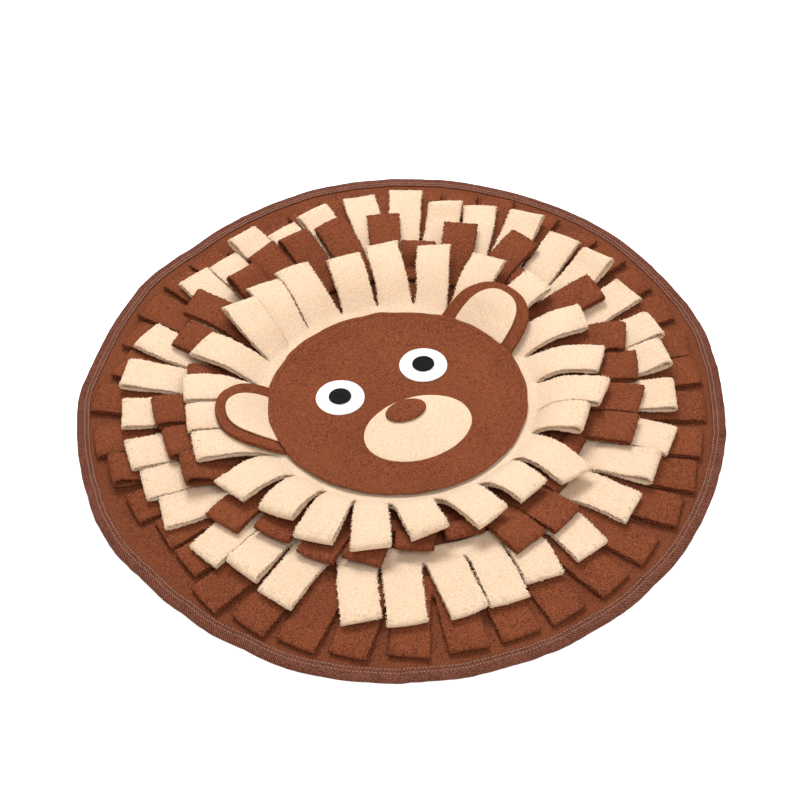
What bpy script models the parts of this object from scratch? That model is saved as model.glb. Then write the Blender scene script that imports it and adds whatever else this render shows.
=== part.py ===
"""A round snuffle mat for dogs: a bound disc of fleece, four sewn rounds of folded fleece
loops, and an animal face sewn over the middle. Metres, +Z up. The mat lies on z = 0 with its
centre at the origin, and the top of the face points along +Y."""

import random
from collections import namedtuple
from math import atan2, cos, degrees, hypot, pi, radians, sin, sqrt, tan

import bmesh
import bpy
from mathutils import Matrix, Vector

MM = 0.001

# Driving dimensions
MAT_RADIUS = 0.300
BASE_THICKNESS = 0.0025  # fleece and its backing, sewn as one cloth
FLEECE = 0.002  # one layer of the loops
GAP = 0.0003  # between pieces that touch
RIM_SIDES = 72

TAPE_WIDTH = 0.012
TAPE_THICKNESS = 0.0008
EDGE_LIFT = TAPE_THICKNESS + GAP  # the cloth's edge rests on the tape folded under it
EDGE_BEND = 0.006  # over which the cloth climbs on to the tape

# How far the rim strays from a true circle: direction in degrees, millimetres outwards
RIM_STRAY = (
    (-27, -2.2), (-12, 0.4), (3, -1.6), (18, 0.8), (33, -0.8), (48, -0.6), (63, 0.2),
    (78, 0.2), (93, -3.0), (108, -5.8), (123, 0.0), (138, -1.8), (153, 3.6), (168, 1.4),
    (183, 3.0), (198, -1.8), (213, -1.0), (228, 2.4), (243, 1.0), (258, 0.6), (288, 0.2),
    (303, -1.6), (318, -2.0),
)

# The side to which the loops have slumped: there they arch from the root and droop
SLUMP_DEG = 243
LOOP_WIDTH = 0.033
SLIT_WIDTH = 0.004  # near its inner end, where the loops first part
FOLD_REACH, FOLD_HALF = 0.95, 0.5  # the fold's two corners: past the layers' ends, and apart
FRINGE_CENTRE = Vector((-0.0035, 0.002, 0.0))
FACE_CENTRE = Vector((-0.011, -0.011, 0.0))
# The face and its round of loops are a little oval: narrower along this direction
OVAL = Matrix.Scale(0.92, 4, Vector((cos(radians(63)), sin(radians(63)), 0)))

# One round of loops. seam is the radius of its sewn line, slit that of the inner ends of its
# cuts, and cuts are their directions in degrees. A course is the line half way between the
# two layers, as (millimetres from the slit, millimetres above the floor, millimetres from it
# to the middle of either layer). swing is how far round the mat each loop's tip has moved
# from its root, in degrees, and short is how many millimetres it falls short of the course
# (a negative one is longer). odd holds the loops, by number, that gape at the tip, are rolled
# about their length, or lie higher or lower than the others.
Round = namedtuple("Round", "name colour centre seam slit cuts standing slumped swing short odd")
Odd = namedtuple("Odd", "gape_mm roll_deg lift_mm", defaults=(0, 0, 0))


def even_cuts(first_deg, count):
    return tuple(first_deg + number * 360 / count for number in range(count))


ROUNDS = (
    Round(
        "loops_1_outer_brown", "brown", FRINGE_CENTRE, 0.207, 0.219, even_cuts(-30, 40),
        ((0, 5.7, 1.6), (18, 6.4, 1.5), (42, 6.4, 1.6), (61, 6.8, 1.9)),
        ((0, 5.7, 1.6), (18, 6.4, 1.5), (42, 6.4, 1.6), (62, 6.8, 1.9)),
        (1, -1, 0, 0, 0, -1, 0, 2, 1, 0, 1, 3, 2, 1, 1, 0, -1.5, -1, -2, -3, -2, 0, -1, 0, -1,
         -2, -2.5, -2, -2, -2, -1, 0, 0, 0, 1, 1.5, 2.5, 2, 1, 1),
        (0, 0, 0, 0, 0, 0, 0, 0, 4, 8, 12, 7, 14, 26, 24, 12, 11, 9, 12, 14, 0, 0, 8, 15, 24,
         20, 4, 3, 0, 0, 0, 0, 0, 0, 0, 0, 0, 0, 0, 0),
        {22: Odd(4.5)},
    ),
    Round(
        "loops_2_cream", "cream", FRINGE_CENTRE, 0.178, 0.190,
        (-28, -18.5, -9.5, 2, 12, 22.5, 34, 43, 55, 64.5, 74, 85, 94, 104, 114.5, 124.5, 135.5,
         144.5, 153.5, 165.5, 176, 185, 196, 205, 214, 226, 237, 248, 258.5, 268.5, 278, 289.5,
         301, 311, 321.5),
        ((0, 5.7, 1.6), (15, 12.5, 1.6), (33, 14.9, 1.7), (49, 15.1, 1.9), (64, 15.0, 2.8)),
        ((0, 5.7, 1.6), (14, 12.3, 1.6), (30, 14.2, 1.7), (46, 14.4, 1.8), (62, 14.2, 2.6)),
        (1.5, 0.5, 2.5, 2.5, 3, 2.5, 3.5, 1, 0, 1.5, 3.5, 2.5, 1.5, -1, -3.5, -2.5, -4, -1,
         -0.5, -0.5, -2, -4, 0, -0.5, -2, 3.5, 1, 2, -0.5, -2, -1, 1, 1, -1, 0.5),
        (1, -1, 0, 0, -2, -6, 0, 10, -8, -6, 6, 13, 0, 12, 4, 38, 3, -2, 0, 1, 5, 6, 4, 11, 0,
         0, -2, 0, 0, 8, 5, 4, 4, 0, 0),
        {0: Odd(3, -8), 1: Odd(3, -8), 3: Odd(5, -10), 5: Odd(3), 7: Odd(4, -6), 8: Odd(2),
         10: Odd(3), 12: Odd(3, 6), 15: Odd(0, 0, -1), 17: Odd(2), 18: Odd(0, 0, 2),
         19: Odd(0, 0, 3), 20: Odd(0, 0, 1), 23: Odd(2.5), 32: Odd(3), 34: Odd(2)},
    ),
    Round(
        "loops_3_brown", "brown", FRINGE_CENTRE, 0.148, 0.160,
        (-28.5, -18.5, -4.5, 10, 22.5, 34.5, 49, 60.5, 70.5, 83, 94.5, 104.5, 117.5, 130,
         144.5, 154.5, 165.5, 177.5, 190.5, 202, 216.5, 230, 240, 254.5, 266.5, 276.5, 288.5,
         299, 310, 320),
        ((0, 5.7, 1.6), (13, 12.6, 1.7), (28, 18.8, 1.8), (43, 21.8, 2.0), (59, 22.2, 3.0)),
        ((0, 5.7, 1.6), (12, 12.4, 1.7), (26, 17.8, 1.8), (41, 20.4, 2.0), (56, 21.0, 2.8)),
        (-2, -5, -1, -1.5, -2, 2.5, 0.5, 0, 3.5, 3, 1.5, -0.5, 1, -2.5, 1, 1.5, 0, -3, 2, 1,
         -1.5, -3, -3, -0.5, 2, 1, 0, 0, -0.5, -2),
        (-3, 1, -4, 36, -3, 4, 38, -1, -2, 6, 2, 13, -6, 4, 24, -5, 0, 2, 0, 15, 10, 17, 29,
         38, 4, 2, 31, 38, -3, -4),
        {0: Odd(0, 0, 1.5), 1: Odd(2.5, 0, 1), 2: Odd(0, 0, 3), 4: Odd(0, 0, 1.5),
         5: Odd(0, 0, 1), 8: Odd(0, 0, 1.5), 9: Odd(3.5, 8), 10: Odd(2.5), 11: Odd(5, 6),
         12: Odd(0, 0, 1), 15: Odd(2.5), 16: Odd(1.5, 0, 1), 17: Odd(4, 6),
         19: Odd(0, 0, 1.5), 23: Odd(0, 0, -6), 26: Odd(0, 0, -6), 27: Odd(0, 0, -6),
         28: Odd(0, 0, 2), 29: Odd(0, 0, 1)},
    ),
    Round(
        "loops_4_inner_cream", "cream", FACE_CENTRE, 0.111, 0.128,
        (-20.5, -4.5, 10.5, 27, 40, 54.5, 70, 86, 103, 115, 128.5, 143, 156, 170.5, 183.5,
         198.5, 213.5, 226, 238, 256.5, 273.5, 293, 310.5, 322.5),
        ((0, 5.9, 1.6), (14, 14.5, 1.8), (29, 24.2, 1.9), (45, 29.3, 2.1), (63, 30.6, 3.1)),
        ((0, 8.4, 1.6), (9, 19.0, 1.8), (20, 26.6, 2.0), (36, 29.8, 2.1), (56, 28.6, 3.0)),
        (-6.5, -4.5, -1, 1, 4, 4, 0, -1, -5, -7, -2.5, 2, 0, -2, 2, 2, 1, 3.5, 3.5, 4, 0.5, -6,
         -0.5, -3.5),
        (0, -8, -8, -8, -9, -9, 1, -6, -3, 1, -4, -5, -4, -6, -5, 0, -9, -8, 5, 5, 9, -5, 14, 1),
        {9: Odd(2), 11: Odd(0, 0, 2), 12: Odd(0, 0, 2), 13: Odd(0, 0, 5), 14: Odd(0, 0, 3),
         15: Odd(2.5, 5), 16: Odd(1.5), 17: Odd(2, 0, 1), 18: Odd(2, 8), 22: Odd(2.5),
         23: Odd(1.5)},
    ),
)

# The face. The panel's edge lies on the inner round's band, and its middle sags a little.
PANEL_RADIUS = 0.1185
PANEL_THICKNESS = 0.0025
# Rings of the panel: radius, height of its underside, and what the slumped side adds to it
PANEL_RINGS_MM = ((96, 6.4, 0), (103, 7.0, 0.2), (109.3, 8.8, 0.8), (118.5, 9.4, 3.4))
EYE_DIAMETER, EYE_APART, EYE_HIGH = 0.046, 0.088, 0.030
PUPIL_DIAMETER = 0.021
MUZZLE_SIZE, MUZZLE_LOW = (0.104, 0.078), 0.040
NOSE_SIZE, NOSE_LOW = (0.040, 0.027), 0.017
PATCH_THICKNESS = 0.0015

# The ears stand from the panel's edge and lean out over the inner round
EAR_DIRECTIONS = {"left": 165, "right": 20}
EAR_WIDTH, EAR_THICKNESS = 0.088, 0.0035
EAR_SQUARE = 2.5  # 2 would make the ear half an ellipse, and more squares it up
EAR_COURSE_MM = ((1.0, 12.5), (12, 18.5), (24, 27.0), (36, 32.5), (48, 36.0))
INNER_EAR_SHARE = (0.66, 0.80)  # of the ear's width and height
INNER_EAR_LIFT = 0.0051  # over the ear's underside, measured upright on the slope
EAR_GRID = (8, 6)

COLOURS = {
    "brown": ((0.145, 0.042, 0.018), 0.95),
    "cream": ((0.83, 0.66, 0.47), 0.95),
    "white": ((0.85, 0.85, 0.82), 0.9),
    "black": ((0.012, 0.012, 0.013), 0.9),
    "tape": ((0.085, 0.036, 0.026), 0.7),
}


def material(name):
    """The cloth of one colour, made the first time it is asked for."""
    if name in bpy.data.materials:
        return bpy.data.materials[name]
    colour, roughness = COLOURS[name]
    made = bpy.data.materials.new(name)
    made.use_nodes = True
    shader = made.node_tree.nodes["Principled BSDF"]
    shader.inputs["Base Color"].default_value = (*colour, 1)
    shader.inputs["Roughness"].default_value = roughness
    shader.inputs["Metallic"].default_value = 0
    return made


def cloth_object(name, bm, colour, thickness, offset, centre=(0, 0, 0)):
    """A sheet of cloth as an object: the open surface in bm, thickened by a Solidify."""
    if centre is FACE_CENTRE:
        bm.transform(OVAL)
    mesh = bpy.data.meshes.new(name)
    bm.to_mesh(mesh)
    bm.free()
    mesh.materials.append(material(colour))
    made = bpy.data.objects.new(name, mesh)
    made.location = centre
    mat.objects.link(made)
    solidify = made.modifiers.new("thickness", "SOLIDIFY")
    solidify.thickness = thickness
    solidify.offset = offset
    solidify.use_even_offset = True
    return made


def new_vertices(geometry):
    return [item for item in geometry if isinstance(item, bmesh.types.BMVert)]


def widen(bm, edges, place):
    """Extrudes a closed edge loop and moves each new vertex by place; returns the new loop."""
    made = bmesh.ops.extrude_edge_only(bm, edges=edges)["geom"]
    fresh = new_vertices(made)
    for vertex in fresh:
        vertex.co = place(vertex.co)
    return list({edge for vertex in fresh for edge in vertex.link_edges
                 if all(end in fresh for end in edge.verts)})


# ---- The base and its binding ----

def rim_stray(angle):
    """How far the rim is outside a true circle at an angle in radians, in metres."""
    at = (degrees(angle) - RIM_STRAY[0][0]) % 360 + RIM_STRAY[0][0]
    table = RIM_STRAY + ((RIM_STRAY[0][0] + 360, RIM_STRAY[0][1]),)
    for (start, stray), (end, next_stray) in zip(table, table[1:]):
        if start <= at <= end:
            share = (1 - cos(pi * (at - start) / (end - start))) / 2
            return (stray + (next_stray - stray) * share) * MM


def on_ring(radius, height):
    """Moves a point to a ring of the mat's own uneven outline."""
    def place(point):
        angle = atan2(point.y, point.x)
        r = radius + rim_stray(angle)
        return Vector((r * cos(angle), r * sin(angle), height))
    return place


def make_base():
    """One round cloth, flat on the floor, whose edge climbs on to the folded tape."""
    bend_end = MAT_RADIUS - TAPE_WIDTH
    bm = bmesh.new()
    circle = bmesh.ops.create_circle(
        bm, cap_ends=True, segments=RIM_SIDES, radius=bend_end - EDGE_BEND)["verts"]
    for vertex in circle:
        vertex.co = on_ring(bend_end - EDGE_BEND, 0)(vertex.co)
    edges = list(bm.edges)
    for radius in (bend_end, MAT_RADIUS - EDGE_LIFT):
        edges = widen(bm, edges, on_ring(radius, EDGE_LIFT))
    bmesh.ops.recalc_face_normals(bm, faces=bm.faces)
    if bm.faces[0].normal.z < 0:
        bmesh.ops.reverse_faces(bm, faces=bm.faces)
    cloth_object("base_mat", bm, "brown", BASE_THICKNESS, 1)


def make_binding():
    """A tape folded over the base's edge, sewn above and below."""
    half = TAPE_THICKNESS / 2
    top = EDGE_LIFT + BASE_THICKNESS + GAP + half
    inner, outer = MAT_RADIUS - TAPE_WIDTH, MAT_RADIUS - half
    bm = bmesh.new()
    bmesh.ops.create_circle(bm, segments=RIM_SIDES, radius=inner)
    for vertex in bm.verts:
        vertex.co = on_ring(inner, half)(vertex.co)
    edges = list(bm.edges)
    for radius, height in ((outer, half), (outer, top), (inner, top)):
        edges = widen(bm, edges, on_ring(radius, height))
    cloth_object("edge_binding", bm, "tape", TAPE_THICKNESS, 0)


# ---- The rounds of loops ----

def slump(angle):
    """0 where the loops stand and 1 where they have slumped, for a direction in radians."""
    return (1 + cos(angle - radians(SLUMP_DEG))) / 2


def course_at(row, angle):
    """The row's course in this direction, in metres: (distance, height, half spread)."""
    share = slump(angle)
    return [tuple((a + (b - a) * share) * MM for a, b in zip(standing, slumped))
            for standing, slumped in zip(row.standing, row.slumped)]


def loop_section(course):
    """The loop's middle line in its own upright plane, out along the lower layer, round the
    fold and back along the upper one, as (distance, height, share of the way to the tip)."""
    tip = course[-1][0]
    lower, upper = [], []
    for here, (distance, height, spread) in enumerate(course[1:], 1):
        before, after = course[here - 1], course[min(here + 1, len(course) - 1)]
        run, rise = after[0] - before[0], after[1] - before[1]
        length = hypot(run, rise)
        along, up = (run / length, rise / length), (-rise / length, run / length)
        share = distance / tip
        lower.append((distance - spread * up[0], height - spread * up[1], share))
        upper.append((distance + spread * up[0], height + spread * up[1], share))
    reach, half = spread * FOLD_REACH, spread * FOLD_HALF
    fold = [(distance + reach * along[0] + side * half * up[0],
             height + reach * along[1] + side * half * up[1], 1) for side in (-1, 1)]
    return lower + fold + upper[::-1]


def pull(bm, pair, points):
    """Extrudes the cloth's edge between two corners to two new points; returns its corners."""
    made = new_vertices(bmesh.ops.extrude_edge_only(bm, edges=[bm.edges.get(pair)])["geom"])
    near = [next(v for v in made if any(e.other_vert(v) is old for e in v.link_edges))
            for old in pair]
    for vertex, point in zip(near, points):
        vertex.co = point
    return near


def slit_end(row, angle, layer):
    """Where a cut ends, on the lower layer (-1) or the upper one (1). The cloth bends upwards
    there, so the layers stay parallel when each is moved half way round the bend."""
    (_, height, spread), (run, next_height, _) = course_at(row, angle)[:2]
    bend = atan2(next_height - height, run)
    radius = row.slit - layer * spread * tan(bend / 2)
    return Vector((radius * cos(angle), radius * sin(angle), height + layer * spread))


def seam_end(row, angle, layer):
    """The band's sewn edge, on the lower layer (-1) or the upper one (1)."""
    spread = course_at(row, angle)[0][2]
    height = BASE_THICKNESS + 2 * GAP + FLEECE / 2 + spread
    return Vector((row.seam * cos(angle), row.seam * sin(angle), height + layer * spread))


def make_round(row, dice):
    """A long band of fleece folded double, its fold cut into loops and its edge sewn down in
    a circle. Each loop is one strip of the sheet, and neighbours share the band."""
    bm = bmesh.new()
    next_cuts = row.cuts[1:] + (row.cuts[0] + 360,)
    ways = zip(row.cuts, next_cuts, row.swing, row.short)
    for number, (cut, next_cut, swing, short) in enumerate(ways):
        ends = radians(cut), radians(next_cut)
        angle, half_pitch = (ends[0] + ends[1]) / 2, (ends[1] - ends[0]) / 2
        odd = row.odd.get(number, Odd())
        course = course_at(row, angle)
        full, gape = course[-1][0], odd.gape_mm * MM
        stretch = dice.uniform(0.98, 1.01) * (1 - (short + odd.gape_mm) * MM / full)
        roll = radians(dice.uniform(-2, 2) + odd.roll_deg)
        lift = gape + (odd.lift_mm + dice.uniform(0, 0.5)) * MM
        lift += LOOP_WIDTH / 2 * sin(radians(abs(odd.roll_deg)))
        course = [(d * stretch, z + lift * (d / full) ** 3, s + gape * (d / full) ** 4)
                  for d, z, s in course]
        width = LOOP_WIDTH + dice.uniform(-0.5, 0.5) * MM
        root_width = 2 * row.slit * sin(half_pitch) - SLIT_WIDTH
        outwards = Vector((cos(angle), sin(angle), 0))
        sideways = Vector((-sin(angle), cos(angle), 0))
        root = outwards * row.slit * cos(half_pitch)
        drift = radians(swing) * (row.slit + full)
        pair = [bm.verts.new(seam_end(row, end, -1)) for end in ends]
        bm.edges.new(pair)
        pair = pull(bm, pair, [slit_end(row, end, -1) for end in ends])
        for distance, height, share in loop_section(course):
            along = min(distance / full, 1)
            bent = drift * along ** 1.5
            heading = Vector((1, 1.5 * drift * sqrt(along) / full)).normalized()
            across = sideways * heading.x - outwards * heading.y
            turn = roll * share ** 3
            across = across * cos(turn) + Vector((0, 0, sin(turn)))
            middle = root + outwards * distance + sideways * bent + Vector((0, 0, height))
            half = (root_width + (width - root_width) * min(2 * share, 1)) / 2
            pair = pull(bm, pair, [middle - across * half, middle + across * half])
        pair = pull(bm, pair, [slit_end(row, end, 1) for end in ends])
        pair = pull(bm, pair, [seam_end(row, end, 1) for end in ends])
        pull(bm, pair, [seam_end(row, end, -1) for end in ends])
    bmesh.ops.remove_doubles(bm, verts=bm.verts, dist=0.00001)
    bmesh.ops.recalc_face_normals(bm, faces=bm.faces)
    bmesh.ops.triangulate(bm, faces=bm.faces, quad_method="SHORT_EDGE")
    cloth_object(row.name, bm, row.colour, FLEECE, 0, row.centre)


# ---- The face ----

def make_panel():
    """The round head panel, laid over the inner round's band and sagging a little inside."""
    bm = bmesh.new()
    (inner, height, _), *rings = PANEL_RINGS_MM
    bmesh.ops.create_circle(bm, cap_ends=True, segments=RIM_SIDES, radius=inner * MM)
    bmesh.ops.translate(bm, verts=bm.verts, vec=(0, 0, height * MM))
    edges = list(bm.edges)
    for ring in rings:
        def outwards(point, ring=ring):
            radius, height, added = ring
            angle = atan2(point.y, point.x)
            height += added * slump(angle)
            return Vector((radius * cos(angle), radius * sin(angle), height)) * MM
        edges = widen(bm, edges, outwards)
    bmesh.ops.recalc_face_normals(bm, faces=bm.faces)
    if bm.faces[0].normal.z < 0:
        bmesh.ops.reverse_faces(bm, faces=bm.faces)
    cloth_object("face_panel", bm, "brown", PANEL_THICKNESS, 1, FACE_CENTRE)
    return height * MM + PANEL_THICKNESS


def make_patch(name, size, at, under, colour, thickness=PATCH_THICKNESS):
    """An oval patch sewn on whatever is under it; returns the height of its top."""
    bottom = under + GAP
    bm = bmesh.new()
    bmesh.ops.create_circle(bm, cap_ends=True, segments=32, radius=0.5)
    bmesh.ops.scale(bm, vec=(size[0], size[1], 1), verts=bm.verts)
    cloth_object(name, bm, colour, thickness, 1, FACE_CENTRE + Vector((*at, bottom)))
    return bottom + thickness


def make_features(top):
    """Two round eyes set apart, a muzzle below them and a nose on the muzzle."""
    for side, name in ((-1, "left"), (1, "right")):
        at = (side * EYE_APART / 2, EYE_HIGH)
        eye_top = make_patch(f"eye_{name}", (EYE_DIAMETER,) * 2, at, top, "white")
        make_patch(f"pupil_{name}", (PUPIL_DIAMETER,) * 2, at, eye_top, "black")
    muzzle_top = make_patch("muzzle", MUZZLE_SIZE, (0, -MUZZLE_LOW), top, "cream")
    make_patch("nose", NOSE_SIZE, (0, -NOSE_LOW), muzzle_top, "brown", 2 * PATCH_THICKNESS)


def ear_course(distance):
    """Height of the ear's underside at a distance from the panel's edge, in metres."""
    table = [(d * MM, z * MM) for d, z in EAR_COURSE_MM]
    for (start, low), (end, high) in zip(table, table[1:]):
        if distance <= end:
            return low + (high - low) * (distance - start) / (end - start)
    return table[-1][1]


def make_ear_sheet(name, direction, shares, lift, thickness, colour):
    """A half-round flap that follows the ear's course, bent round the panel's edge."""
    wide, tall = shares
    start, end = EAR_COURSE_MM[0][0] * MM, EAR_COURSE_MM[-1][0] * MM
    bm = bmesh.new()
    bmesh.ops.create_grid(bm, x_segments=EAR_GRID[0], y_segments=EAR_GRID[1], size=1)
    for vertex in bm.verts:
        across, along = vertex.co.x, (vertex.co.y + 1) / 2
        disc = Vector((across * sqrt(1 - along ** 2 / 2), along * sqrt(1 - across ** 2 / 2)))
        if disc.length > 0:
            turned = disc.normalized()
            disc *= (abs(turned.x) ** EAR_SQUARE + turned.y ** EAR_SQUARE) ** (-1 / EAR_SQUARE)
        out = start + (end - start) * tall * disc.y
        aside = wide * EAR_WIDTH / 2 * disc.x
        radius = PANEL_RADIUS + out
        angle = radians(direction) - aside / radius
        vertex.co = Vector((radius * cos(angle), radius * sin(angle), ear_course(out) + lift))
    cloth_object(name, bm, colour, thickness, 1, FACE_CENTRE)


def make_ears():
    for name, direction in EAR_DIRECTIONS.items():
        make_ear_sheet(f"ear_{name}", direction, (1, 1), 0, EAR_THICKNESS, "brown")
        make_ear_sheet(f"inner_ear_{name}", direction, INNER_EAR_SHARE, INNER_EAR_LIFT,
                       PATCH_THICKNESS, "cream")


for old in list(bpy.data.objects):
    bpy.data.objects.remove(old)
mat = bpy.data.collections.new("snuffle_mat")
bpy.context.scene.collection.children.link(mat)

make_base()
make_binding()
chance = random.Random(11)
for fringe_round in ROUNDS:
    make_round(fringe_round, chance)
make_features(make_panel())
make_ears()
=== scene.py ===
"""Looks of a round snuffle mat for dogs: fleece, tape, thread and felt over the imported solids.
Metres, +Z up, with the mat's centre at the origin and the top of the face along +Y."""

import random
from collections import namedtuple
from math import atan2, cos, degrees, hypot, pi, radians, sin, sqrt, tan

import bmesh
import bpy
from mathutils import Matrix, Vector, noise


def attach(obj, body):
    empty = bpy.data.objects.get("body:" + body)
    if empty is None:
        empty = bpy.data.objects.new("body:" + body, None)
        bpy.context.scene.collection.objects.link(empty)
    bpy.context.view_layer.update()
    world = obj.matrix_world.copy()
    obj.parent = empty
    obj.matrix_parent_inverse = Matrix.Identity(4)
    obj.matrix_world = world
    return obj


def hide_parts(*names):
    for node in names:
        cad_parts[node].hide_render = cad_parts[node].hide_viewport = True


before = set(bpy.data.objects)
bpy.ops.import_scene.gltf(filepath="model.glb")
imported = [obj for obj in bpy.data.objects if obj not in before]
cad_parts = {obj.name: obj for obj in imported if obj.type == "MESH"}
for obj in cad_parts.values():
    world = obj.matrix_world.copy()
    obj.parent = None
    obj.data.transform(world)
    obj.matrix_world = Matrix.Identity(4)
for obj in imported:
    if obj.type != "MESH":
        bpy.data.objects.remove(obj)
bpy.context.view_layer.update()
MM = 0.001


# ---- Base cloth ----
# One round of brown fleece, about 2.5 mm thick with its backing. It lies flat on the floor,
# and its edge climbs on to the tape that is folded under it.

BASE_THICKNESS = 0.0025
GAP = 0.0003  # between pieces that touch
RIM_POINTS = 72  # corners of the solid's rim
RIM_STEP = 2 * pi / RIM_POINTS
RIM_KINKS = 0.0011  # small bends of the sewn edge between those corners
BASE_RINGS = (0.03, 0.09, 0.15, 0.20, 0.24, 0.262, 0.276)
TAPE_WIDTH = 0.012
TAPE_THICKNESS = 0.0008
EDGE_LIFT = TAPE_THICKNESS + GAP
EDGE_BEND = 0.006
MAT_RADIUS = 0.300
BROWN = (0.252, 0.071, 0.027)
BROWN_DEEP = (0.095, 0.023, 0.009)
# the base cloth's brown, a little darker than the loops' brown
BASE_BROWN = (0.222, 0.064, 0.025)


class Wire:
    """A shader socket on which Python's operators add Math nodes."""

    def __init__(self, tree, socket):
        self.tree = tree
        self.socket = socket

    def node(self, kind, inputs=(), output=0, **settings):
        """Adds a node, its settings first and then the values or links of its sockets."""
        made = self.tree.nodes.new("ShaderNode" + kind)
        for name, value in settings.items():
            setattr(made, name, value)
        for place, value in dict(inputs).items():
            if isinstance(value, Wire):
                self.tree.links.new(value.socket, made.inputs[place])
            else:
                made.inputs[place].default_value = value
        return Wire(self.tree, made.outputs[output])

    def outlet(self, name):
        """Another output of the node that this socket belongs to."""
        return Wire(self.tree, self.socket.node.outputs[name])

    def maths(self, operation, other=0.0):
        return self.node("Math", {0: self, 1: other}, operation=operation)

    def __add__(self, other):
        return self.maths("ADD", other)

    __radd__ = __add__

    def __sub__(self, other):
        return self.maths("SUBTRACT", other)

    def __mul__(self, other):
        return self.maths("MULTIPLY", other)

    __rmul__ = __mul__

    def clipped(self):
        return self.node("Clamp", {"Value": self})

    def blend(self, low, high):
        """A colour from low where this is 0 to high where it is 1."""
        return self.node("Mix", {0: self, 6: low, 7: high}, output=2, data_type="RGBA")


def rgba(colour):
    return (*colour, 1.0)


def new_material(name, roughness, sheen=0.0, sheen_tint=(1, 1, 1)):
    """A Principled material: (it, its shader, a Wire of the object's own coordinates)."""
    made = bpy.data.materials.new(name)
    made.use_nodes = True
    shader = made.node_tree.nodes["Principled BSDF"]
    shader.inputs["Roughness"].default_value = roughness
    shader.inputs["Specular IOR Level"].default_value = 0.15
    shader.inputs["Sheen Weight"].default_value = sheen
    shader.inputs["Sheen Roughness"].default_value = 0.55
    shader.inputs["Sheen Tint"].default_value = rgba(sheen_tint)
    place = Wire(made.node_tree, None).node("TexCoord", output="Object")
    return made, shader, place


def plug(wire, shader, name):
    wire.tree.links.new(wire.socket, shader.inputs[name])


def speckle(place, size, detail=2.0, roughness=0.55):
    """Noise from 0 to 1 whose grains are about size metres across."""
    return place.node("TexNoise", {"Vector": place, "Scale": 1 / size, "Detail": detail,
                                   "Roughness": roughness})


def fleece(name, high, low, contrast, grain=0.0011, depth=0.0004, glow=0.0):
    """Brushed fleece: a short matted pile in fine curls, and shade that drifts a little."""
    made, shader, place = new_material(name, 0.95, 0.12, high)
    shader.inputs["Subsurface Weight"].default_value = glow
    shader.inputs["Subsurface Radius"].default_value = (1.0, 0.55, 0.35)
    shader.inputs["Subsurface Scale"].default_value = 0.002
    curls = speckle(place, grain, 1.0, 0.6)
    tufts = speckle(place, 0.0034, 1.0)
    drift = speckle(place, 0.05, 1.0)
    pile = (curls - 0.5) * 3.6 + (tufts - 0.5) * 0.5 + (drift - 0.5) * 0.5
    plug((pile * contrast + 0.6).clipped().blend(rgba(low), rgba(high)), shader, "Base Color")
    height = curls + tufts * 0.4
    plug(place.node("Bump", {"Strength": 0.9, "Distance": depth, "Height": height}), shader,
         "Normal")
    return made


brown_fleece = fleece("brown_fleece", BROWN, BROWN_DEEP, 1.0)
# fleece for the base cloth, a little darker than the loops'
darker_base_fleece = fleece("darker_base_fleece", BASE_BROWN, BROWN_DEEP, 1.0)


def rim_radii(node):
    """The solid's own rim, as radii at its corners, which stand at even steps from -180."""
    corners = {}
    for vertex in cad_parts[node].data.vertices:
        number = round((atan2(vertex.co.y, vertex.co.x) + pi) / RIM_STEP) % RIM_POINTS
        corners[number] = max(corners.get(number, 0), hypot(vertex.co.x, vertex.co.y))
    return [corners[number] for number in range(RIM_POINTS)]


RIM = rim_radii("edge_binding")


def rim_stray(angle):
    """How far the rim is outside a true circle, on a smooth curve through its corners."""
    at = (angle + pi) / RIM_STEP
    number = int(at)
    share = at - number
    before, start, end, after = (RIM[(number + step) % RIM_POINTS] for step in (-1, 0, 1, 2))
    bend = (end - before + share * (2 * before - 5 * start + 4 * end - after
                                    + share * (3 * (start - end) + after - before)))
    kinks = noise.noise(Vector((cos(angle), sin(angle), 0.7)) * 11) * RIM_KINKS
    return start + 0.5 * share * bend + kinks - MAT_RADIUS


def crumple(point, size, amount):
    """A soft random offset that changes over about size metres."""
    return noise.noise_vector(point / size) * amount


def on_ring(radius, height, waviness=0.0):
    """Moves a point to a ring of the mat's own uneven outline."""
    def place(point):
        angle = atan2(point.y, point.x)
        share = min(radius / MAT_RADIUS, 1)
        r = radius + rim_stray(angle) * share ** 4
        raised = abs(noise.noise(Vector((cos(angle), sin(angle), radius * 9)) * 6)) * waviness
        return Vector((r * cos(angle), r * sin(angle), height + raised))
    return place


def widen(bm, edges, place):
    """Extrudes a closed edge loop and moves each new vertex by place; returns the new loop."""
    made = bmesh.ops.extrude_edge_only(bm, edges=edges)["geom"]
    fresh = [item for item in made if isinstance(item, bmesh.types.BMVert)]
    for vertex in fresh:
        vertex.co = place(vertex.co)
    return list({edge for vertex in fresh for edge in vertex.link_edges
                 if all(end in fresh for end in edge.verts)})


def face_up(bm):
    bmesh.ops.recalc_face_normals(bm, faces=bm.faces)
    if sum(face.normal.z for face in bm.faces) < 0:
        bmesh.ops.reverse_faces(bm, faces=bm.faces)


def link_piece(name, mesh, material, thickness, offset):
    """A cloth piece from its open sheet: thickened, smooth, and riding on the mat."""
    mesh.materials.clear()
    mesh.materials.append(material)
    mesh.shade_smooth()
    piece = bpy.data.objects.new(name, mesh)
    bpy.context.scene.collection.objects.link(piece)
    solid = piece.modifiers.new("thickness", "SOLIDIFY")
    solid.thickness = thickness
    solid.offset = offset
    soft_edge = piece.modifiers.new("soft_edge", "BEVEL")
    soft_edge.width = thickness * 0.3
    soft_edge.segments = 1
    soft_edge.angle_limit = radians(50)
    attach(piece, "root")
    return piece


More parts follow.
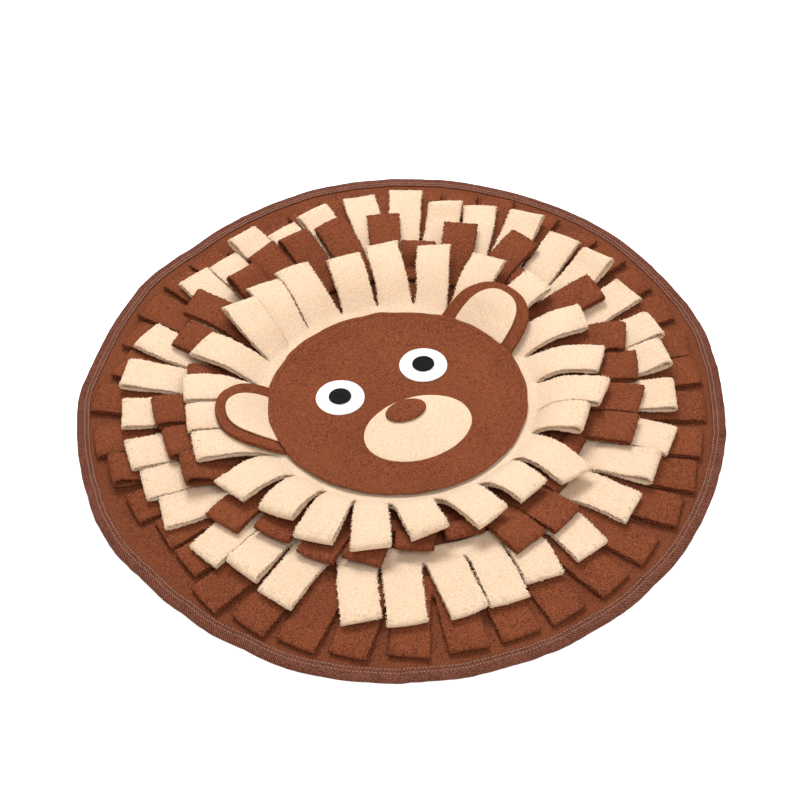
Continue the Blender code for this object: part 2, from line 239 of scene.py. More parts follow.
def smoothed(bm, levels):
    """The sheet in bm after Catmull-Clark subdivision, its edges kept, as a new bmesh."""
    rough = bpy.data.meshes.new("rough")
    bm.to_mesh(rough)
    bm.free()
    cage = bpy.data.objects.new("cage", rough)
    bpy.context.scene.collection.objects.link(cage)
    rounding = cage.modifiers.new("rounding", "SUBSURF")
    rounding.levels = levels
    rounding.render_levels = levels
    fine = bmesh.new()
    fine.from_object(cage, bpy.context.evaluated_depsgraph_get())
    bpy.data.objects.remove(cage)
    bpy.data.meshes.remove(rough)
    return fine


def to_mesh(bm, name):
    mesh = bpy.data.meshes.new(name)
    bm.to_mesh(mesh)
    bm.free()
    return mesh


bm = bmesh.new()
bmesh.ops.create_circle(bm, cap_ends=True, segments=144, radius=BASE_RINGS[0])
loop = list(bm.edges)
for ring in BASE_RINGS[1:]:
    loop = widen(bm, loop, on_ring(ring, 0, 0.0010 if ring > 0.25 else 0))
for ring in (MAT_RADIUS - TAPE_WIDTH, MAT_RADIUS - EDGE_LIFT):
    loop = widen(bm, loop, on_ring(ring, EDGE_LIFT))
face_up(bm)
base_cloth = link_piece("base_cloth", to_mesh(smoothed(bm, 1), "base_cloth"), darker_base_fleece,
                        BASE_THICKNESS, 1)
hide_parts("base_mat")


# ---- Binding ----
# A ribbed woven tape, 25 mm wide, folded lengthwise over the base's edge and sewn through
# with two rows of machine stitches that pull it in a little at each stitch.

TAPE_SEGMENTS = 720
TAPE_LIGHT = (0.238, 0.088, 0.055)
TAPE_DARK = (0.056, 0.013, 0.005)
TAPE_RUST = (0.080, 0.022, 0.009)
THREAD_TAN = (0.42, 0.25, 0.18)
RIB = 0.0022
STITCH_ROWS = (0.0110, 0.0074)  # in from the rim
STITCH_PITCH = 0.0030
THREAD_RADIUS = 0.00045


def rim_point(inwards, height):
    """The place on the rim at an angle, this far in from the outline."""
    def place(point):
        angle = atan2(point.y, point.x)
        pucker = noise.noise(Vector((cos(angle), sin(angle), 0)) * 34)
        r = MAT_RADIUS + rim_stray(angle) - inwards + pucker * 0.0005
        return Vector((r * cos(angle), r * sin(angle), height + abs(pucker) * 0.0004))
    return place


half = TAPE_THICKNESS / 2
top = EDGE_LIFT + BASE_THICKNESS + GAP + half
TAPE_SECTION = ((TAPE_WIDTH, half), (0.0008, half), (half, 0.0012), (half, top - 0.0008),
                (0.0014, top), (0.0040, top + 0.0003), (STITCH_ROWS[1], top - 0.0001),
                (0.0090, top + 0.0002), (STITCH_ROWS[0], top - 0.0001), (TAPE_WIDTH, top))
bm = bmesh.new()
bmesh.ops.create_circle(bm, segments=TAPE_SEGMENTS, radius=MAT_RADIUS)
for vertex in bm.verts:
    vertex.co = rim_point(*TAPE_SECTION[0])(vertex.co)
loop = list(bm.edges)
for inwards, height in TAPE_SECTION[1:]:
    loop = widen(bm, loop, rim_point(inwards, height))
inside = bm.verts.layers.float.new("inwards")
for number, vertex in enumerate(bm.verts):
    vertex[inside] = TAPE_SECTION[number // TAPE_SEGMENTS][0]
bmesh.ops.recalc_face_normals(bm, faces=bm.faces)

woven_tape, shader, place = new_material("woven_tape", 0.95)
inwards = place.node("Attribute", output="Fac", attribute_name="inwards")
sides = place.node("SeparateXYZ", {"Vector": place})
along = sides.outlet("Y").maths("ARCTAN2", sides.outlet("X")) * MAT_RADIUS
ribs = ((along + inwards) * (2 * pi / RIB)).maths("SINE")
threads = speckle(place, 0.0011, 2.0, 0.7)
weave = ribs * 0.5 + (threads - 0.5) * 3.4 + (speckle(place, 0.02) - 0.5) * 0.6 + 0.5
twill = weave.clipped().blend(rgba(TAPE_DARK), rgba(TAPE_LIGHT))
underside = (sides.outlet("Z") * -700 + 1.6).clipped()
plug(underside.blend(twill, rgba(TAPE_RUST)), shader, "Base Color")
plug(place.node("Bump", {"Strength": 0.8, "Distance": 0.0005, "Height": ribs * 0.3 + threads}),
     shader, "Normal")

binding = link_piece("binding", to_mesh(bm, "binding"), woven_tape, TAPE_THICKNESS, 0)
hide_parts("edge_binding")

tape_thread, shader, place = new_material("tape_thread", 0.6)
plug(speckle(place, 0.001).blend(rgba((0.24, 0.12, 0.08)), rgba(THREAD_TAN)), shader,
     "Base Color")


def sew(name, lines, radius, material):
    """Closed lines of thread, each a list of points, as one piece."""
    thread = bpy.data.curves.new(name, "CURVE")
    thread.dimensions = "3D"
    thread.bevel_depth = radius
    thread.bevel_resolution = 1
    thread.materials.append(material)
    for points in lines:
        line = thread.splines.new("POLY")
        line.use_cyclic_u = True
        line.points.add(len(points) - 1)
        for knot, point in zip(line.points, points):
            knot.co = (*point, 1)
    piece = bpy.data.objects.new(name, thread)
    bpy.context.scene.collection.objects.link(piece)
    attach(piece, "root")


def stitch_row(place_at, length, pitch, sink):
    """Points of a thread that lies on the cloth for each stitch and dives in between two."""
    count = round(length / pitch)
    points = []
    for number in range(count):
        for share, lift in ((0.0, -sink), (0.15, 0), (0.5, 0), (0.65, -sink)):
            angle = 2 * pi * (number + share) / count
            points.append(place_at(Vector((cos(angle), sin(angle), 0))) + Vector((0, 0, lift)))
    return points


rows = [stitch_row(rim_point(inwards, top + half), 2 * pi * (MAT_RADIUS - inwards),
                   STITCH_PITCH, 0.0008) for inwards in STITCH_ROWS]
sew("tape_stitches", rows, THREAD_RADIUS, tape_thread)


# ---- Rounds of loops ----
# Long bands of fleece folded double, the folded side cut into loops and the open side sewn to
# the base in a circle. Each loop keeps its own course, as it does on the mat that lies there.

FLEECE = 0.002
SLUMP_DEG = 243  # the side to which the loops have slumped
LOOP_WIDTH = 0.033
SLIT_WIDTH = 0.004
FOLD_REACH, FOLD_HALF = 0.95, 0.5
FRINGE_CENTRE = Vector((-0.0035, 0.002, 0.0))
FACE_CENTRE = Vector((-0.011, -0.011, 0.0))
OVAL = Matrix.Scale(0.92, 4, Vector((cos(radians(63)), sin(radians(63)), 0)))
CREAM = (0.82, 0.635, 0.455)
CREAM_DEEP = (0.66, 0.455, 0.295)

TRAITS = ("side", "share", "curl", "skew")  # of each corner of a loop
TIP_ROUND = 0.0005
CUT_POINTS = 2  # added to each step of a cut edge, so that it can fray
FRAY = 0.0008
LOCK_SIZE = (0.0013, 0.0013, 0.0022)  # a lock of pile that stands out from the cloth
LOCKS_AT_FOLD = 50  # for each loop
LOCKS_AT_CUT = 0.5  # for each corner of the cut edges

Round = namedtuple("Round", "name colour centre seam slit cuts standing slumped swing short odd")
Odd = namedtuple("Odd", "gape_mm roll_deg lift_mm", defaults=(0, 0, 0))

cream_fleece = fleece("cream_fleece", CREAM, CREAM_DEEP, 0.8, glow=0.4)


def even_cuts(first_deg, count):
    return tuple(first_deg + number * 360 / count for number in range(count))


def slump(angle):
    """0 where the loops stand and 1 where they have slumped, for a direction in radians."""
    return (1 + cos(angle - radians(SLUMP_DEG))) / 2


def course_at(row, angle):
    """The row's course in this direction, in metres: (distance, height, half spread)."""
    share = slump(angle)
    return [tuple((a + (b - a) * share) * MM for a, b in zip(standing, slumped))
            for standing, slumped in zip(row.standing, row.slumped)]


def loop_section(course):
    """The loop's middle line in its own upright plane, out along the lower layer, round the
    fold and back along the upper one, as (distance, height, share of the way to the tip)."""
    tip = course[-1][0]
    lower, upper = [], []
    for here, (distance, height, spread) in enumerate(course[1:], 1):
        before, after = course[here - 1], course[min(here + 1, len(course) - 1)]
        run, rise = after[0] - before[0], after[1] - before[1]
        length = hypot(run, rise)
        along, up = (run / length, rise / length), (-rise / length, run / length)
        share = distance / tip
        lower.append((distance - spread * up[0], height - spread * up[1], share))
        upper.append((distance + spread * up[0], height + spread * up[1], share))
    reach, half = spread * FOLD_REACH, spread * FOLD_HALF
    fold = [(distance + reach * along[0] + side * half * up[0],
             height + reach * along[1] + side * half * up[1], 1) for side in (-1, 1)]
    return lower + fold + upper[::-1]


def pull(bm, pair, points):
    """Extrudes the cloth's edge between two corners to two new points; returns its corners."""
    made = bmesh.ops.extrude_edge_only(bm, edges=[bm.edges.get(pair)])["geom"]
    made = [item for item in made if isinstance(item, bmesh.types.BMVert)]
    near = [next(v for v in made if any(e.other_vert(v) is old for e in v.link_edges))
            for old in pair]
    for vertex, point in zip(near, points):
        vertex.co = point
    return near


def slit_end(row, angle, layer):
    """Where a cut ends, on the lower layer (-1) or the upper one (1)."""
    (_, height, spread), (run, next_height, _) = course_at(row, angle)[:2]
    bend = atan2(next_height - height, run)
    radius = row.slit - layer * spread * tan(bend / 2)
    return Vector((radius * cos(angle), radius * sin(angle), height + layer * spread))


def seam_end(row, angle, layer):
    """The band's sewn edge, on the lower layer (-1) or the upper one (1)."""
    spread = course_at(row, angle)[0][2]
    height = BASE_THICKNESS + 2 * GAP + FLEECE / 2 + spread
    return Vector((row.seam * cos(angle), row.seam * sin(angle), height + layer * spread))


def mean(vectors):
    return sum(vectors, Vector()) / len(vectors)


def cut_edge(bm):
    """Each corner of the sheet's cut edges with the direction out of the cloth there."""
    found = []
    for vertex in bm.verts:
        if vertex.is_boundary:
            ends = [edge.other_vert(vertex).co for edge in vertex.link_edges
                    if edge.is_boundary]
            outwards = vertex.co - mean([face.calc_center_median() for face in vertex.link_faces])
            along = (ends[0] - ends[-1]).normalized()
            found.append((vertex, (outwards - along * outwards.dot(along)).normalized()))
    return found


def whole_lock(top):
    """The corners of the lock of pile that has this one at its top."""
    middle = [edge.other_vert(top) for edge in top.link_edges]
    return {edge.other_vert(corner) for corner in middle for edge in corner.link_edges}


def locks_of_pile(name, spots, dice, material):
    """Small locks of the pile, one at each spot, which is a (place, direction)."""
    bm = bmesh.new()
    bmesh.ops.create_uvsphere(bm, u_segments=4, v_segments=2, radius=0.5)
    one = len(bm.verts)
    while len(bm.verts) < one * len(spots):
        bmesh.ops.duplicate(bm, geom=bm.verts[:] + bm.edges[:] + bm.faces[:])
    size = Matrix.Diagonal(LOCK_SIZE)
    tops = [vertex for vertex in bm.verts if vertex.co.z > 0.25]
    for top, (place, direction) in zip(tops, spots):
        lean = Vector([dice.uniform(-0.7, 0.7) for _ in range(3)])
        turn = (direction + lean).to_track_quat("Z", "Y").to_matrix() @ size
        turn *= dice.uniform(0.5, 1.2)
        for corner in whole_lock(top):
            corner.co = place + turn @ corner.co
    spare = {corner for top in tops[len(spots):] for corner in whole_lock(top)}
    bmesh.ops.delete(bm, geom=list(spare), context="VERTS")
    mesh = to_mesh(bm, name)
    mesh.materials.append(material)
    mesh.shade_smooth()
    locks = bpy.data.objects.new(name, mesh)
    bpy.context.scene.collection.objects.link(locks)
    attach(locks, "root")
    return locks


def band_of_loops(row, dice, looks):
    """One round's fine cloth, cupped, crumpled and frayed, and the spots of its loose pile."""
    bm = bmesh.new()
    traits = [bm.verts.layers.float.new(name) for name in TRAITS]
    next_cuts = row.cuts[1:] + (row.cuts[0] + 360,)
    ways = zip(row.cuts, next_cuts, row.swing, row.short)
    for number, (cut, next_cut, swing, short) in enumerate(ways):
        ends = radians(cut), radians(next_cut)
        angle, half_pitch = (ends[0] + ends[1]) / 2, (ends[1] - ends[0]) / 2
        odd = row.odd.get(number, Odd())
        course = course_at(row, angle)
        full, gape = course[-1][0], odd.gape_mm * MM
        stretch = dice.uniform(0.98, 1.01) * (1 - (short + odd.gape_mm) * MM / full)
        roll = radians(dice.uniform(-2, 2) + odd.roll_deg)
        lift = gape + (odd.lift_mm + dice.uniform(0, 0.5)) * MM
        lift += LOOP_WIDTH / 2 * sin(radians(abs(odd.roll_deg)))
        course = [(d * stretch, z + lift * (d / full) ** 3, s + gape * (d / full) ** 4)
                  for d, z, s in course]
        width = LOOP_WIDTH + dice.uniform(-0.5, 0.5) * MM
        root_width = 2 * row.slit * sin(half_pitch) - SLIT_WIDTH
        outwards = Vector((cos(angle), sin(angle), 0))
        sideways = Vector((-sin(angle), cos(angle), 0))
        root = outwards * row.slit * cos(half_pitch)
        drift = radians(swing) * (row.slit + full)
        curl = looks.uniform(-1.3, 1.1) * MM
        skew = looks.uniform(-1, 1) * MM
        pair = [bm.verts.new(seam_end(row, end, -1)) for end in ends]
        bm.edges.new(pair)
        pair = pull(bm, pair, [slit_end(row, end, -1) for end in ends])
        for distance, height, share in loop_section(course):
            along = min(distance / full, 1)
            bent = drift * along ** 1.5
            heading = Vector((1, 1.5 * drift * sqrt(along) / full)).normalized()
            across = sideways * heading.x - outwards * heading.y
            turn = roll * share ** 3
            across = across * cos(turn) + Vector((0, 0, sin(turn)))
            middle = root + outwards * distance + sideways * bent + Vector((0, 0, height))
            half = (root_width + (width - root_width) * min(2 * share, 1)) / 2
            pair = pull(bm, pair, [middle - across * half, middle + across * half])
            for side, corner in zip((-1, 1), pair):
                for trait, value in zip(traits, (side, share, curl, skew)):
                    corner[trait] = value
        pair = pull(bm, pair, [slit_end(row, end, 1) for end in ends])
        pair = pull(bm, pair, [seam_end(row, end, 1) for end in ends])
        pull(bm, pair, [seam_end(row, end, -1) for end in ends])
    bmesh.ops.remove_doubles(bm, verts=bm.verts, dist=0.00001)
    bmesh.ops.recalc_face_normals(bm, faces=bm.faces)
    fine = smoothed(bm, 2)
    bmesh.ops.subdivide_edges(fine, edges=[e for e in fine.edges if e.is_boundary],
                              cuts=CUT_POINTS)
    traits = [fine.verts.layers.float[name] for name in TRAITS]
    for vertex in fine.verts:
        side, share, curl, skew = (vertex[trait] for trait in traits)
        outwards = Vector((*vertex.co.xy.normalized(), 0))
        vertex.co += outwards * (skew * side * share ** 2 - TIP_ROUND * side ** 4 * share ** 8)
        vertex.co.z += curl * (side ** 2 - 0.4) * share
        vertex.co += crumple(vertex.co, 0.024, 0.0008)
    if row.centre is FACE_CENTRE:
        fine.transform(OVAL)
    fine.transform(Matrix.Translation(row.centre))
    fine.normal_update()
    spots = []
    _, share, _, _ = traits
    for vertex, outwards in cut_edge(fine):
        if vertex[share] > 0.1 and vertex.normal.z > -0.3 and looks.random() < LOCKS_AT_CUT:
            up = vertex.normal * looks.uniform(-0.4, 0.45) * FLEECE
            spots.append((vertex.co + up + outwards * LOCK_SIZE[2] * 0.2, outwards))
        vertex.co += outwards * looks.uniform(-1, 0.4) * FRAY
    folds = [face for face in fine.faces
             if min(v[share] for v in face.verts) > 0.97 and face.normal.z > -0.3]
    for _ in range(LOCKS_AT_FOLD * len(row.cuts)):
        face = looks.choice(folds)
        weights = [looks.random() for _ in face.verts]
        at = sum((v.co * w for v, w in zip(face.verts, weights)), Vector()) / sum(weights)
        spots.append((at + face.normal * (FLEECE / 2), face.normal))
    return fine, spots


ROUNDS = (
    Round(
        "loops_1_outer_brown", "brown", FRINGE_CENTRE, 0.207, 0.219, even_cuts(-30, 40),
        ((0, 5.7, 1.6), (18, 6.4, 1.5), (42, 6.4, 1.6), (61, 6.8, 1.9)),
        ((0, 5.7, 1.6), (18, 6.4, 1.5), (42, 6.4, 1.6), (62, 6.8, 1.9)),
        (1, -1, 0, 0, 0, -1, 0, 2, 1, 0, 1, 3, 2, 1, 1, 0, -1.5, -1, -2, -3, -2, 0, -1, 0, -1,
         -2, -2.5, -2, -2, -2, -1, 0, 0, 0, 1, 1.5, 2.5, 2, 1, 1),
        (0, 0, 0, 0, 0, 0, 0, 0, 4, 8, 12, 7, 14, 26, 24, 12, 11, 9, 12, 14, 0, 0, 8, 15, 24,
         20, 4, 3, 0, 0, 0, 0, 0, 0, 0, 0, 0, 0, 0, 0),
        {22: Odd(4.5)},
    ),
    Round(
        "loops_2_cream", "cream", FRINGE_CENTRE, 0.178, 0.190,
        (-28, -18.5, -9.5, 2, 12, 22.5, 34, 43, 55, 64.5, 74, 85, 94, 104, 114.5, 124.5, 135.5,
         144.5, 153.5, 165.5, 176, 185, 196, 205, 214, 226, 237, 248, 258.5, 268.5, 278, 289.5,
         301, 311, 321.5),
        ((0, 5.7, 1.6), (15, 12.5, 1.6), (33, 14.9, 1.7), (49, 15.1, 1.9), (64, 15.0, 2.8)),
        ((0, 5.7, 1.6), (14, 12.3, 1.6), (30, 14.2, 1.7), (46, 14.4, 1.8), (62, 14.2, 2.6)),
        (1.5, 0.5, 2.5, 2.5, 3, 2.5, 3.5, 1, 0, 1.5, 3.5, 2.5, 1.5, -1, -3.5, -2.5, -4, -1,
         -0.5, -0.5, -2, -4, 0, -0.5, -2, 3.5, 1, 2, -0.5, -2, -1, 1, 1, -1, 0.5),
        (1, -1, 0, 0, -2, -6, 0, 10, -8, -6, 6, 13, 0, 12, 4, 38, 3, -2, 0, 1, 5, 6, 4, 11, 0,
         0, -2, 0, 0, 8, 5, 4, 4, 0, 0),
        {0: Odd(3, -8), 1: Odd(3, -8), 3: Odd(5, -10), 5: Odd(3), 7: Odd(4, -6), 8: Odd(2),
         10: Odd(3), 12: Odd(3, 6), 15: Odd(0, 0, -1), 17: Odd(2), 18: Odd(0, 0, 2),
         19: Odd(0, 0, 3), 20: Odd(0, 0, 1), 23: Odd(2.5), 32: Odd(3), 34: Odd(2)},
    ),
    Round(
        "loops_3_brown", "brown", FRINGE_CENTRE, 0.148, 0.160,
        (-28.5, -18.5, -4.5, 10, 22.5, 34.5, 49, 60.5, 70.5, 83, 94.5, 104.5, 117.5, 130,
         144.5, 154.5, 165.5, 177.5, 190.5, 202, 216.5, 230, 240, 254.5, 266.5, 276.5, 288.5,
         299, 310, 320),
        ((0, 5.7, 1.6), (13, 12.6, 1.7), (28, 18.8, 1.8), (43, 21.8, 2.0), (59, 22.2, 3.0)),
        ((0, 5.7, 1.6), (12, 12.4, 1.7), (26, 17.8, 1.8), (41, 20.4, 2.0), (56, 21.0, 2.8)),
        (-2, -5, -1, -1.5, -2, 2.5, 0.5, 0, 3.5, 3, 1.5, -0.5, 1, -2.5, 1, 1.5, 0, -3, 2, 1,
         -1.5, -3, -3, -0.5, 2, 1, 0, 0, -0.5, -2),
        (-3, 1, -4, 36, -3, 4, 38, -1, -2, 6, 2, 13, -6, 4, 24, -5, 0, 2, 0, 15, 10, 17, 29,
         38, 4, 2, 31, 38, -3, -4),
        {0: Odd(0, 0, 1.5), 1: Odd(2.5, 0, 1), 2: Odd(0, 0, 3), 4: Odd(0, 0, 1.5),
         5: Odd(0, 0, 1), 8: Odd(0, 0, 1.5), 9: Odd(3.5, 8), 10: Odd(2.5), 11: Odd(5, 6),
         12: Odd(0, 0, 1), 15: Odd(2.5), 16: Odd(1.5, 0, 1), 17: Odd(4, 6),
         19: Odd(0, 0, 1.5), 23: Odd(0, 0, -6), 26: Odd(0, 0, -6), 27: Odd(0, 0, -6),
         28: Odd(0, 0, 2), 29: Odd(0, 0, 1)},
    ),
    Round(
        "loops_4_inner_cream", "cream", FACE_CENTRE, 0.111, 0.128,
        (-20.5, -4.5, 10.5, 27, 40, 54.5, 70, 86, 103, 115, 128.5, 143, 156, 170.5, 183.5,
         198.5, 213.5, 226, 238, 256.5, 273.5, 293, 310.5, 322.5),
        ((0, 5.9, 1.6), (14, 14.5, 1.8), (29, 24.2, 1.9), (45, 29.3, 2.1), (63, 30.6, 3.1)),
        ((0, 8.4, 1.6), (9, 19.0, 1.8), (20, 26.6, 2.0), (36, 29.8, 2.1), (56, 28.6, 3.0)),
        (-6.5, -4.5, -1, 1, 4, 4, 0, -1, -5, -7, -2.5, 2, 0, -2, 2, 2, 1, 3.5, 3.5, 4, 0.5, -6,
         -0.5, -3.5),
        (0, -8, -8, -8, -9, -9, 1, -6, -3, 1, -4, -5, -4, -6, -5, 0, -9, -8, 5, 5, 9, -5, 14, 1),
        {9: Odd(2), 11: Odd(0, 0, 2), 12: Odd(0, 0, 2), 13: Odd(0, 0, 5), 14: Odd(0, 0, 3),
         15: Odd(2.5, 5), 16: Odd(1.5), 17: Odd(2, 0, 1), 18: Odd(2, 8), 22: Odd(2.5),
         23: Odd(1.5)},
    ),
)
FLEECES = {"brown": brown_fleece, "cream": cream_fleece}

chance = random.Random(11)
looks = random.Random(5)
for row in ROUNDS:
    cloth, spots = band_of_loops(row, chance, looks)
    fringe = link_piece(row.name.replace("loops", "fringe"), to_mesh(cloth, "fringe"),
                        FLEECES[row.colour], FLEECE, 0)
    pile = locks_of_pile(row.name.replace("loops", "pile"), spots, looks, FLEECES[row.colour])
    longest = row.standing[-1][0] * MM + row.slit - row.seam
    around = 2 * pi * row.slit
    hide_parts(row.name)
    2 * longest
    2 * longest * around * 0.92


# ---- Face panel ----
# A round of brown fleece with a narrow turned edge, sewn over the innermost band. It sags a
# little between the band that carries its edge.

PANEL_THICKNESS = 0.0025
PANEL_SEGMENTS = 144
EAR_DIRECTIONS = {"left": 165, "right": 20}
EAR_ROOT_DEG = 21  # half of an ear's root, as seen from the panel's centre
EAR_RISE = 3.2  # millimetres by which an ear's root lifts the panel's edge
PANEL_RINGS_MM = (
    (12, 6.4, 0), (40, 6.5, 0), (70, 6.4, 0), (88, 6.4, 0), (96, 6.4, 0), (103, 7.0, 0.2),
    (109.3, 8.8, 0.8), (113.6, 9.4, 2.0), (115.0, 8.3, 2.6), (116.4, 9.4, 3.0),
    (118.2, 9.5, 3.3), (118.9, 8.8, 3.4),
)


def over_ear(angle):
    """1 over the root of an ear, fading to 0 beside it."""
    aside = min(abs((degrees(angle) - ear + 180) % 360 - 180) for ear in EAR_DIRECTIONS.values())
    share = min(max((EAR_ROOT_DEG + 6 - aside) / 7, 0), 1)
    return share * share * (3 - 2 * share)


def panel_ring(radius_mm, height_mm, added_mm):
    def place(point):
        angle = atan2(point.y, point.x)
        height = height_mm + added_mm * slump(angle)
        height += EAR_RISE * over_ear(angle) * max(radius_mm - 100, 0) / 18.5
        wave = noise.noise(Vector((cos(angle), sin(angle), 0.3)) * 7) * 1.1
        ripple = noise.noise(Vector((cos(angle), sin(angle), 0.9)) * 22) * 0.7
        radius = radius_mm + (wave + ripple if radius_mm > 110 else 0)
        height += abs(ripple) * max(radius_mm - 112, 0) / 6
        return Vector((radius * cos(angle), radius * sin(angle), height)) * MM
    return place


bm = bmesh.new()
bmesh.ops.create_circle(bm, cap_ends=True, segments=PANEL_SEGMENTS, radius=0.012)
for vertex in bm.verts:
    vertex.co.z = PANEL_RINGS_MM[0][1] * MM
loop = list(bm.edges)
for ring in PANEL_RINGS_MM[1:]:
    loop = widen(bm, loop, panel_ring(*ring))
face_up(bm)
fine = smoothed(bm, 1)
for vertex in fine.verts:
    near_edge = min(max(vertex.co.xy.length / 0.03 - 2.1, 0), 1)
    vertex.co.z += noise.noise(vertex.co / 0.035) * 0.0005
    vertex.co.z += max(noise.noise(vertex.co / 0.022) + 0.3, 0) * near_edge * 0.0018
fine.transform(OVAL)
fine.transform(Matrix.Translation(FACE_CENTRE))
panel = link_piece("head_panel", to_mesh(fine, "head_panel"), brown_fleece, PANEL_THICKNESS, 1)
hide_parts("face_panel")


# ---- Ears ----
# Two round flaps of double fleece caught in the panel's seam, each with a cream patch sewn on.

PANEL_RADIUS = 0.1185
EAR_DIP = 0.0030  # at the seam, under the panel's edge
EAR_WIDTH, EAR_THICKNESS = 0.088, 0.0035
EAR_SQUARE = 2.5
EAR_COURSE_MM = ((1.0, 12.5), (12, 18.5), (24, 27.0), (36, 32.5), (48, 36.0))
INNER_EAR_SHARE = (0.66, 0.80)
INNER_EAR_LIFT = 0.0051
PATCH_THICKNESS = 0.0015
EAR_GRID = (16, 12)


def ear_course(distance):
    """Height of the ear's underside at a distance from the panel's edge, in metres."""
    table = [(d * MM, z * MM) for d, z in EAR_COURSE_MM]
    for (start, low), (end, high) in zip(table, table[1:]):
        if distance <= end:
            return low + (high - low) * (distance - start) / (end - start)
    return table[-1][1]


def ear_sheet(direction, shares, lift):
    """A half-round flap that follows the ear's course, bent round the panel's edge."""
    wide, tall = shares
    start, end = EAR_COURSE_MM[0][0] * MM, EAR_COURSE_MM[-1][0] * MM
    bm = bmesh.new()
    bmesh.ops.create_grid(bm, x_segments=EAR_GRID[0], y_segments=EAR_GRID[1], size=1)
    for vertex in bm.verts:
        across, along = vertex.co.x, (vertex.co.y + 1) / 2
        disc = Vector((across * sqrt(1 - along ** 2 / 2), along * sqrt(1 - across ** 2 / 2)))
        if disc.length > 0:
            turned = disc.normalized()
            disc *= (abs(turned.x) ** EAR_SQUARE + turned.y ** EAR_SQUARE) ** (-1 / EAR_SQUARE)
        out = start + (end - start) * tall * disc.y
        aside = wide * EAR_WIDTH / 2 * disc.x
        radius = PANEL_RADIUS + out
        angle = radians(direction) - aside / radius
        height = ear_course(out) + lift - EAR_DIP * max(1 - out / 0.011, 0)
        vertex.co = Vector((radius * cos(angle), radius * sin(angle), height))
    face_up(bm)
    fine = smoothed(bm, 1)
    for vertex in fine.verts:
        vertex.co += crumple(vertex.co, 0.03, 0.0007)
    fine.transform(OVAL)
    fine.transform(Matrix.Translation(FACE_CENTRE))
    return fine


for side, direction in EAR_DIRECTIONS.items():
    flap = link_piece(f"ear_flap_{side}", to_mesh(ear_sheet(direction, (1, 1), 0), "ear"),
                      brown_fleece, EAR_THICKNESS, 1)
    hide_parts(f"ear_{side}")
    lining = link_piece(
        f"ear_patch_{side}",
        to_mesh(ear_sheet(direction, INNER_EAR_SHARE, INNER_EAR_LIFT), "ear_patch"),
        cream_fleece, PATCH_THICKNESS, 1)
    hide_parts(f"inner_ear_{side}")


# ---- Eyes, muzzle and nose ----
# Flat patches of felt and fleece, sewn down round their edges so that the edge dips a little.

EYE_DIAMETER, EYE_APART, EYE_HIGH = 0.046, 0.088, 0.030
PUPIL_DIAMETER = 0.021
MUZZLE_SIZE, MUZZLE_LOW = (0.104, 0.078), 0.040
NOSE_SIZE, NOSE_LOW = (0.040, 0.027), 0.017
PATCH_RINGS = ((0.5, 0.0), (0.8, 0.0), (0.93, -0.1), (0.975, -0.45), (1.0, -0.55))


def sewn_patch(name, node, size, at, bottom, thickness, material):
    """An oval patch, its edge pulled down by the stitches round it."""
    outline = Matrix.Diagonal((size[0] / 2, size[1] / 2, 1, 1))
    bm = bmesh.new()
    share, _ = PATCH_RINGS[0]
    bmesh.ops.create_circle(bm, cap_ends=True, segments=48, radius=share)
    loop = list(bm.edges)
    for share, dip in PATCH_RINGS[1:]:
        def spread(point, share=share, dip=dip):
            return Vector((*point.xy.normalized() * share, dip * thickness))
        loop = widen(bm, loop, spread)
    face_up(bm)
    bm.transform(outline)
    fine = smoothed(bm, 1)
    for vertex in fine.verts:
        wobble = crumple(vertex.co, 0.02, 0.0003)
        vertex.co += Vector((wobble.x, wobble.y, 0))
        vertex.co.z += max(wobble.z, 0)
    top = bottom + thickness
    fine.transform(Matrix.Translation((*at, top)))
    fine.transform(OVAL)
    fine.transform(Matrix.Translation(FACE_CENTRE))
    patch = link_piece(name, to_mesh(fine, name), material, thickness, -1)
    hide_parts(node)
    return top


white_felt = fleece("white_felt", (0.92, 0.92, 0.90), (0.80, 0.80, 0.77), 0.7, 0.0014, 0.0003)
black_felt = fleece("black_felt", (0.012, 0.012, 0.013), (0.005, 0.005, 0.005), 1.0, 0.0015, 0.0003)

on_panel = PANEL_RINGS_MM[0][1] * MM + PANEL_THICKNESS + GAP
for side, name in ((-1, "left"), (1, "right")):
    at = (side * EYE_APART / 2, EYE_HIGH)
    eye_top = sewn_patch(f"eye_patch_{name}", f"eye_{name}", (EYE_DIAMETER,) * 2, at, on_panel,
                         PATCH_THICKNESS, white_felt)
    sewn_patch(f"pupil_patch_{name}", f"pupil_{name}", (PUPIL_DIAMETER,) * 2, at, eye_top + GAP,
               PATCH_THICKNESS, black_felt)
muzzle_top = sewn_patch("muzzle_patch", "muzzle", MUZZLE_SIZE, (0, -MUZZLE_LOW), on_panel,
                        PATCH_THICKNESS, cream_fleece)
sewn_patch("nose_patch", "nose", NOSE_SIZE, (0, -NOSE_LOW), muzzle_top + GAP,
           2 * PATCH_THICKNESS, brown_fleece)


# ---- Floor, light and camera ----
# A plain pale floor under soft studio light, seen from where the photograph was taken.

FLOOR_SIZE = 12.0
PHOTO_TURN = Matrix.Rotation(radians(-27), 4, "Z")  # from the photograph's sides to the mat's
CAMERA_AWAY, CAMERA_HIGH_DEG = 1.3, 49.9
CAMERA_LENS, SENSOR = 62.45, 36.0
CAMERA_ROLL_DEG = -1.926
CAMERA_AIM = (-0.001815, -0.003584)

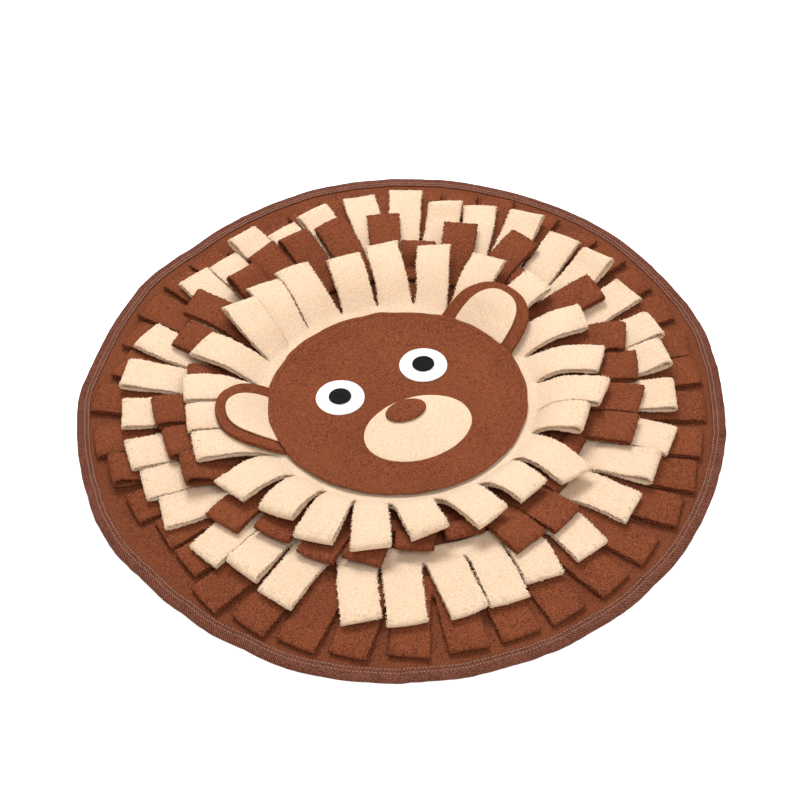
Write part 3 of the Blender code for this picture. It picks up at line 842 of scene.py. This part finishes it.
bpy.ops.mesh.primitive_plane_add(size=FLOOR_SIZE)
floor = bpy.context.object
floor.name = "floor"
pale, shader, place = new_material("pale_floor", 0.9)
plug(speckle(place, 0.4).blend(rgba((0.90, 0.90, 0.90)), rgba((0.92, 0.92, 0.92))), shader,
     "Base Color")
shader.inputs["Emission Color"].default_value = (1, 1, 1, 1)
shader.inputs["Emission Strength"].default_value = 0.55
floor.data.materials.append(pale)


def softbox(name, at, size, watts, warmth=(1, 1, 1)):
    """A square soft light at a place in the photograph's frame, turned to the mat."""
    lamp = bpy.data.lights.new(name, "AREA")
    lamp.size = size
    lamp.energy = watts
    lamp.color = warmth
    made = bpy.data.objects.new(name, lamp)
    bpy.context.scene.collection.objects.link(made)
    facing = (-Vector(at)).to_track_quat("-Z", "Y").to_matrix().to_4x4()
    made.matrix_world = PHOTO_TURN @ Matrix.Translation(at) @ facing


softbox("key", (-0.2, 0.8, 1.6), 0.8, 24.5, (1.0, 1.05, 1.13))
softbox("front", (0.3, -0.9, 1.5), 0.8, 11.5, (1.0, 1.05, 1.13))

world = bpy.data.worlds.new("studio")
bpy.context.scene.world = world
world.use_nodes = True
world.node_tree.nodes["Background"].inputs["Color"].default_value = (1.0, 0.87, 0.75, 1)
world.node_tree.nodes["Background"].inputs["Strength"].default_value = 0.5

away = radians(CAMERA_HIGH_DEG)
eye = Vector((0, -CAMERA_AWAY * cos(away), CAMERA_AWAY * sin(away)))
ahead = -eye.normalized()
right = ahead.cross(Vector((0, 0, 1))).normalized()
up = right.cross(ahead)
ahead = (ahead + CAMERA_AIM[0] * right + CAMERA_AIM[1] * up).normalized()
right = ahead.cross(up).normalized()
up = right.cross(ahead)
roll = radians(CAMERA_ROLL_DEG)
level = cos(roll) * right + sin(roll) * up
upright = cos(roll) * up - sin(roll) * right
camera = bpy.data.objects.new("camera", bpy.data.cameras.new("camera"))
bpy.context.scene.collection.objects.link(camera)
axes = Matrix((level, upright, -ahead)).transposed().to_4x4()
camera.matrix_world = PHOTO_TURN @ Matrix.Translation(eye) @ axes
camera.data.sensor_width = SENSOR
camera.data.lens = CAMERA_LENS
bpy.context.scene.camera = camera
bpy.context.scene.view_settings.view_transform = "Standard"
